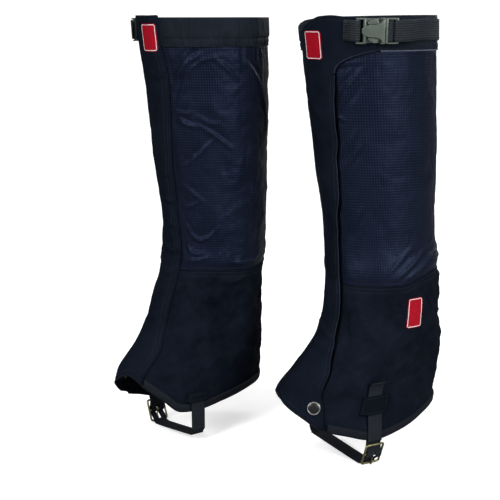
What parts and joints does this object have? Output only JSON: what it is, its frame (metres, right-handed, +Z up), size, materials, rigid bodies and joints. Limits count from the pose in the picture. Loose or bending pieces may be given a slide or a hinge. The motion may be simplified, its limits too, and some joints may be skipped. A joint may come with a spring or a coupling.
{
  "type": "pair of gaiters",
  "caption": "Pair of knee-high hiking gaiters: cloth tubes with a front flap, tape closure, side-release top buckle, corner snap and instep strap with a frame buckle.",
  "frame": {"origin": "bottom centre of the pair's bounding box; the instep straps hang about 6 mm above the ground the boots would stand on", "axes": "+Z up the legs, -Y the way the toes point, +X the wearer's left"},
  "size_m": [0.322, 0.3292, 0.5051],
  "materials": {
    "ripstop": "coated ripstop nylon, satin",
    "canvas": "tight plain weave, matt",
    "casing": "gathered cloth casing, matt",
    "flap_cloth": "heavy plain weave, matt",
    "facing": "cloth facing, matt",
    "loop_pile": "soft loop pile",
    "hook_plastic": "hook tape",
    "binding": "folded binding tape",
    "elastic": "woven elastic",
    "label": "woven label, plain red",
    "webbing": "ribbed nylon webbing",
    "buckle_plastic": "moulded acetal",
    "snap_steel": "plated",
    "snap_enamel": "black enamel",
    "hook_steel": "plated",
    "frame_metal": "dull antique brass plating",
    "instep_web": "heavy nylon webbing"
  },
  "bodies": {
    "left_shell": {"left_upper_panel": "ripstop", "left_lower_panel": "canvas", "left_top_casing": "casing", "left_flap_wing": "flap_cloth", "left_placket_facing": "facing", "left_loop_tape": "loop_pile", "left_hem_binding": "binding", "left_ankle_elastic": "elastic", "left_strap_patches": "facing", "left_woven_labels": "label", "left_top_webbing": "webbing", "left_webbing_tab": "webbing", "left_buckle_female": "buckle_plastic", "left_snap_post": "snap_steel", "left_snap_stud": "snap_steel", "left_lace_hook": "hook_steel", "left_frame_tab": "webbing", "left_instep_strap": "instep_web"},
    "left_flap_upper": {"left_flap_upper": "flap_cloth", "left_hook_tape_upper": "hook_plastic"},
    "left_flap_lower": {"left_flap_lower": "flap_cloth", "left_hook_tape_lower": "hook_plastic", "left_snap_socket": "snap_steel", "left_snap_cap": "snap_enamel"},
    "left_buckle_plug": {"left_buckle_male": "buckle_plastic", "left_strap_end": "webbing"},
    "left_latch_upper": {"left_latch_arm_upper": "buckle_plastic"},
    "left_latch_lower": {"left_latch_arm_lower": "buckle_plastic"},
    "left_frame": {"left_instep_frame": "frame_metal"},
    "left_prong": {"left_prong": "frame_metal"},
    "right_shell": {"right_upper_panel": "ripstop", "right_lower_panel": "canvas", "right_top_casing": "casing", "right_flap_wing": "flap_cloth", "right_placket_facing": "facing", "right_loop_tape": "loop_pile", "right_hem_binding": "binding", "right_ankle_elastic": "elastic", "right_strap_patches": "facing", "right_woven_labels": "label", "right_top_webbing": "webbing", "right_webbing_tab": "webbing", "right_buckle_female": "buckle_plastic", "right_snap_post": "snap_steel", "right_snap_stud": "snap_steel", "right_lace_hook": "hook_steel", "right_frame_tab": "webbing", "right_instep_strap": "instep_web"},
    "right_flap_upper": {"right_flap_upper": "flap_cloth", "right_hook_tape_upper": "hook_plastic"},
    "right_flap_lower": {"right_flap_lower": "flap_cloth", "right_hook_tape_lower": "hook_plastic", "right_snap_socket": "snap_steel", "right_snap_cap": "snap_enamel"},
    "right_buckle_plug": {"right_buckle_male": "buckle_plastic", "right_strap_end": "webbing"},
    "right_latch_upper": {"right_latch_arm_upper": "buckle_plastic"},
    "right_latch_lower": {"right_latch_arm_lower": "buckle_plastic"},
    "right_frame": {"right_instep_frame": "frame_metal"},
    "right_prong": {"right_prong": "frame_metal"}
  },
  "joints": [
    {"name": "stride", "type": "slide", "parent": "left_shell", "child": "right_shell", "axis": [0, 1, 0], "range_m": [-0.15, 0.15]},
    {"name": "left_flap_upper_fold", "type": "hinge", "parent": "left_shell", "child": "left_flap_upper", "pos_m": [0.06437, 0.02797, 0.20841], "axis": [0.0512, 0.1026, -0.9934], "range_deg": [0, 100]},
    {"name": "left_flap_lower_fold", "type": "hinge", "parent": "left_shell", "child": "left_flap_lower", "pos_m": [0.06615, 0.0257, 0.19246], "axis": [-0.0748, -0.4699, -0.8796], "range_deg": [0, 70]},
    {"name": "left_buckle_release", "type": "slide", "parent": "left_shell", "child": "left_buckle_plug", "axis": [0.4814, 0.8765, 0], "range_m": [0, 0.022]},
    {"name": "left_latch_upper_squeeze", "type": "hinge", "parent": "left_buckle_plug", "child": "left_latch_upper", "pos_m": [0.14908, 0.03675, 0.49678], "axis": [-0.8742, 0.4801, 0.0719], "range_deg": [0, 8]},
    {"name": "left_latch_lower_squeeze", "type": "hinge", "parent": "left_buckle_plug", "child": "left_latch_lower", "pos_m": [0.14804, 0.03732, 0.48042], "axis": [0.8742, -0.4801, -0.0719], "range_deg": [0, 8]},
    {"name": "left_frame_rock", "type": "hinge", "parent": "left_shell", "child": "left_frame", "pos_m": [0.13784, 0.04117, 0.01429], "axis": [0.0698, 0.9976, 0], "range_deg": [-4, 4]},
    {"name": "left_prong_lift", "type": "hinge", "parent": "left_frame", "child": "left_prong", "pos_m": [0.13784, 0.04117, 0.01429], "axis": [-0.0698, -0.9976, 0], "range_deg": [0, 75]},
    {"name": "right_flap_upper_fold", "type": "hinge", "parent": "right_shell", "child": "right_flap_upper", "pos_m": [-0.06437, -0.09195, 0.20853], "axis": [0.0503, -0.0889, 0.9948], "range_deg": [0, 100]},
    {"name": "right_flap_lower_fold", "type": "hinge", "parent": "right_shell", "child": "right_flap_lower", "pos_m": [-0.06608, -0.09524, 0.19257], "axis": [-0.0723, 0.4202, 0.9046], "range_deg": [0, 70]},
    {"name": "right_buckle_release", "type": "slide", "parent": "right_shell", "child": "right_buckle_plug", "axis": [-0.4957, 0.8685, 0], "range_m": [0, 0.022]},
    {"name": "right_latch_upper_squeeze", "type": "hinge", "parent": "right_buckle_plug", "child": "right_latch_upper", "pos_m": [-0.14916, -0.08384, 0.49661], "axis": [-0.8652, -0.4938, -0.0877], "range_deg": [0, 8]},
    {"name": "right_latch_lower_squeeze", "type": "hinge", "parent": "right_buckle_plug", "child": "right_latch_lower", "pos_m": [-0.14791, -0.08312, 0.48028], "axis": [0.8652, 0.4938, 0.0877], "range_deg": [0, 8]},
    {"name": "right_frame_rock", "type": "hinge", "parent": "right_shell", "child": "right_frame", "pos_m": [-0.13746, -0.08383, 0.01429], "axis": [0.0698, -0.9976, 0], "range_deg": [-4, 4]},
    {"name": "right_prong_lift", "type": "hinge", "parent": "right_frame", "child": "right_prong", "pos_m": [-0.13746, -0.08383, 0.01429], "axis": [-0.0698, 0.9976, 0], "range_deg": [0, 75]}
  ]
}
